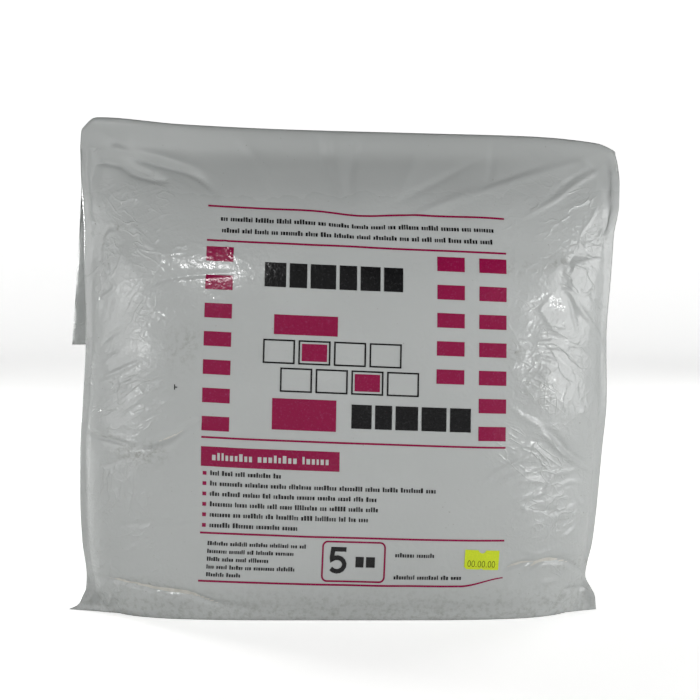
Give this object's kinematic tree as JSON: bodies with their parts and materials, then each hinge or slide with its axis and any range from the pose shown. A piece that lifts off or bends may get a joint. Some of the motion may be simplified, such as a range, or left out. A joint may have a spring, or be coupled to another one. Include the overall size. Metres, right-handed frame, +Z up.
{
  "type": "cement bag",
  "caption": "Small white film bag filled with cement, standing on its slumped base, top folded over behind, with a date label.",
  "frame": {"origin": "middle of the bounding box's bottom, on the floor under the bag", "axes": "+Z up, the printed front faces -Y, +X runs along the width to the right of someone who looks at the front"},
  "size_m": [0.3558, 0.0792, 0.3159],
  "materials": {
    "film": "white polyethylene film, soft gloss, finely wrinkled",
    "cement": "fine dry powder",
    "label": "fluorescent yellow self-adhesive paper"
  },
  "bodies": {
    "root": {"film_bag": "film", "cement_fill": "cement", "date_label": "label"}
  },
  "joints": []
}
